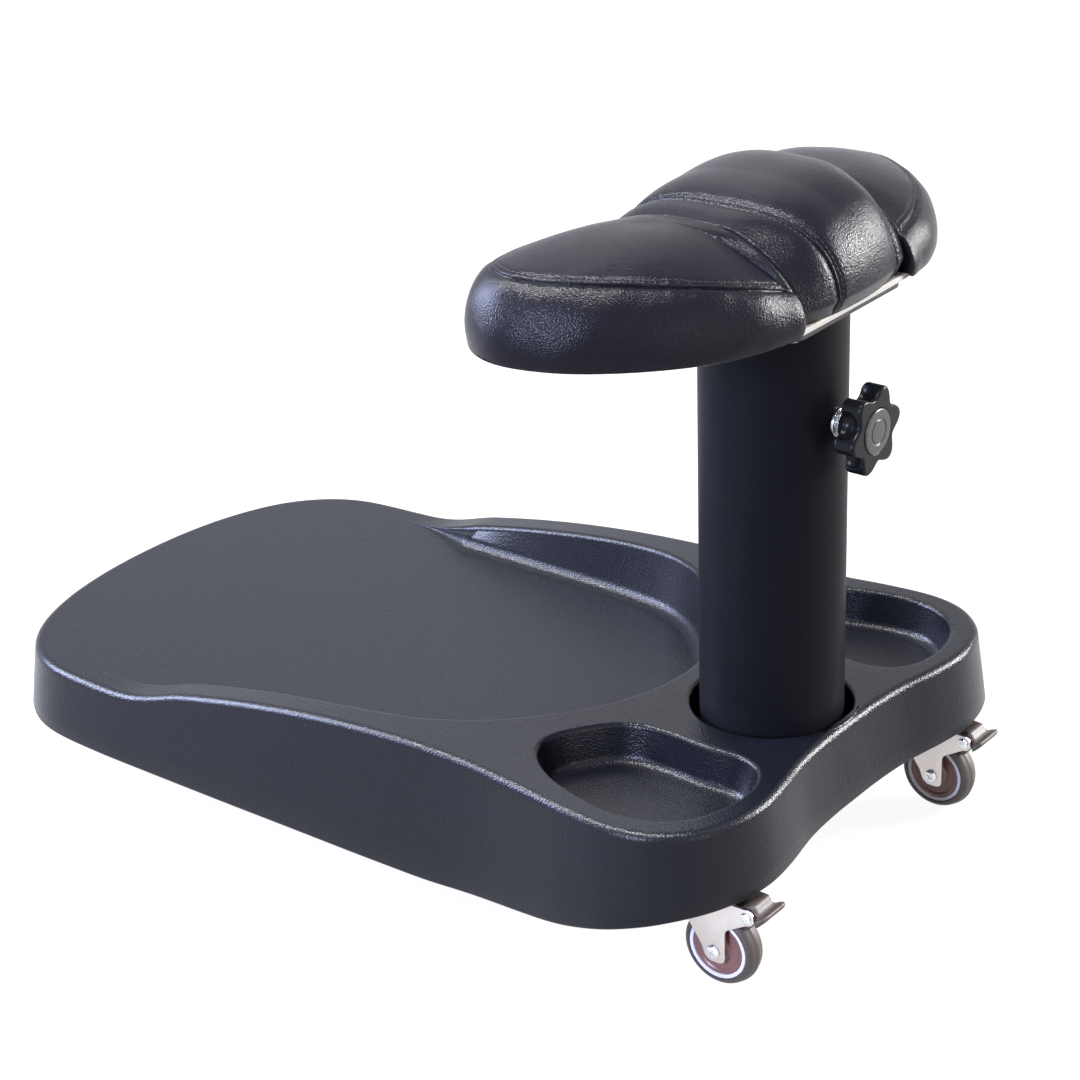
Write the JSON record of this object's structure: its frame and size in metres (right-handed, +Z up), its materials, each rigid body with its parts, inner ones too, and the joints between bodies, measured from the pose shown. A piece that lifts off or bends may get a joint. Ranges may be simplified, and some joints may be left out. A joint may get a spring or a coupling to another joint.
{
  "type": "pedicure footrest",
  "caption": "Rolling pedicure footrest: moulded tray with a foot-spa recess and tool trays, round column and a crescent leg cushion.",
  "frame": {"origin": "on the ground under the middle of the overall length and width", "axes": "+X towards the column end, +Y to the right side, +Z up"},
  "size_m": [0.7877, 0.4742, 0.5636],
  "materials": {
    "tray_moulding": "fine leather-grain black moulding, satin",
    "frame_paint": "black powder coat",
    "column_paint": "matte black powder coat",
    "zinc_screws": "bright zinc plate",
    "guide_nylon": "black nylon",
    "post_steel": "zinc-plated tube",
    "board_wood": "sealed plywood",
    "cushion_leather": "black artificial leather, fine grain, satin",
    "knob_plastic": "glossy black",
    "caster_zinc": "bright zinc plate",
    "fork_steel": "bright plated sheet steel",
    "tyre_rubber": "brown-grey soft rubber",
    "wheel_ring": "pale lilac ring",
    "wheel_hub": "reddish brown hub",
    "pedal_plastic": "dark brown moulding"
  },
  "bodies": {
    "base": {"base_tray": "tray_moulding", "frame_plate": "frame_paint", "tray_screw_1": "zinc_screws", "tray_screw_2": "zinc_screws", "tray_screw_3": "zinc_screws", "tray_screw_4": "zinc_screws", "outer_column": "column_paint", "flange_screw_1": "zinc_screws", "flange_screw_2": "zinc_screws", "flange_screw_3": "zinc_screws", "flange_screw_4": "zinc_screws", "top_bush": "guide_nylon", "clamp_insert": "zinc_screws", "column_left_mount": "caster_zinc", "column_right_mount": "caster_zinc", "spa_left_mount": "caster_zinc", "spa_right_mount": "caster_zinc"},
    "glide": {"glide_cup": "guide_nylon"},
    "carrier": {"inner_post": "post_steel", "seat_plate": "frame_paint", "seat_screw_1": "zinc_screws", "seat_screw_2": "zinc_screws", "seat_screw_3": "zinc_screws", "seat_screw_4": "zinc_screws", "cushion_board": "board_wood", "cushion_centre": "cushion_leather", "cushion_left": "cushion_leather", "cushion_right": "cushion_leather"},
    "clamp_pad": {"clamp_pad": "guide_nylon"},
    "clamp_knob": {"clamp_stem": "zinc_screws", "knob": "knob_plastic", "knob_cap": "knob_plastic"},
    "column_left_swivel": {"column_left_fork": "fork_steel", "column_left_axle": "caster_zinc", "column_left_brake_pin": "caster_zinc"},
    "column_left_wheel": {"column_left_tyre": "tyre_rubber", "column_left_core": "wheel_ring", "column_left_hub": "wheel_hub"},
    "column_left_brake": {"column_left_pedal": "pedal_plastic"},
    "column_right_swivel": {"column_right_fork": "fork_steel", "column_right_axle": "caster_zinc", "column_right_brake_pin": "caster_zinc"},
    "column_right_wheel": {"column_right_tyre": "tyre_rubber", "column_right_core": "wheel_ring", "column_right_hub": "wheel_hub"},
    "column_right_brake": {"column_right_pedal": "pedal_plastic"},
    "spa_left_swivel": {"spa_left_fork": "fork_steel", "spa_left_axle": "caster_zinc"},
    "spa_left_wheel": {"spa_left_tyre": "tyre_rubber", "spa_left_core": "wheel_ring", "spa_left_hub": "wheel_hub"},
    "spa_right_swivel": {"spa_right_fork": "fork_steel", "spa_right_axle": "caster_zinc"},
    "spa_right_wheel": {"spa_right_tyre": "tyre_rubber", "spa_right_core": "wheel_ring", "spa_right_hub": "wheel_hub"}
  },
  "joints": [
    {"name": "post_height", "type": "slide", "parent": "base", "child": "glide", "axis": [0, 0, 1], "range_m": [0, 0.12]},
    {"name": "post_swivel", "type": "hinge", "parent": "glide", "child": "carrier", "pos_m": [0.28883, 0, 0.3], "axis": [0, 0, 1], "continuous": true},
    {"name": "clamp_advance", "type": "slide", "parent": "base", "child": "clamp_pad", "axis": [1, 0, 0], "range_m": [0, 0.003]},
    {"name": "knob_turn", "type": "hinge", "parent": "clamp_pad", "child": "clamp_knob", "pos_m": [0.36883, 0, 0.386], "axis": [1, 0, 0], "range_deg": [0, 720]},
    {"name": "column_left_swivel_turn", "type": "hinge", "parent": "base", "child": "column_left_swivel", "pos_m": [0.32483, -0.156, 0.076], "axis": [0, 0, 1], "continuous": true},
    {"name": "column_left_wheel_spin", "type": "hinge", "parent": "column_left_swivel", "child": "column_left_wheel", "pos_m": [0.34884, -0.156, 0.031], "axis": [0, 1, 0], "continuous": true},
    {"name": "column_left_brake_press", "type": "hinge", "parent": "column_left_swivel", "child": "column_left_brake", "pos_m": [0.37683, -0.156, 0.069], "axis": [0, 1, 0], "range_deg": [0, 14]},
    {"name": "column_right_swivel_turn", "type": "hinge", "parent": "base", "child": "column_right_swivel", "pos_m": [0.32483, 0.156, 0.076], "axis": [0, 0, 1], "continuous": true},
    {"name": "column_right_wheel_spin", "type": "hinge", "parent": "column_right_swivel", "child": "column_right_wheel", "pos_m": [0.34884, 0.156, 0.031], "axis": [0, 1, 0], "continuous": true},
    {"name": "column_right_brake_press", "type": "hinge", "parent": "column_right_swivel", "child": "column_right_brake", "pos_m": [0.37683, 0.156, 0.069], "axis": [0, 1, 0], "range_deg": [0, 14]},
    {"name": "spa_left_swivel_turn", "type": "hinge", "parent": "base", "child": "spa_left_swivel", "pos_m": [-0.27117, -0.149, 0.076], "axis": [0, 0, 1], "continuous": true},
    {"name": "spa_left_wheel_spin", "type": "hinge", "parent": "spa_left_swivel", "child": "spa_left_wheel", "pos_m": [-0.24717, -0.149, 0.031], "axis": [0, 1, 0], "continuous": true},
    {"name": "spa_right_swivel_turn", "type": "hinge", "parent": "base", "child": "spa_right_swivel", "pos_m": [-0.27117, 0.149, 0.076], "axis": [0, 0, 1], "continuous": true},
    {"name": "spa_right_wheel_spin", "type": "hinge", "parent": "spa_right_swivel", "child": "spa_right_wheel", "pos_m": [-0.24717, 0.149, 0.031], "axis": [0, 1, 0], "continuous": true}
  ],
  "couplings": [
    {"joint": "clamp_advance", "follows": "knob_turn", "m_per_rad": 0.00023873}
  ]
}
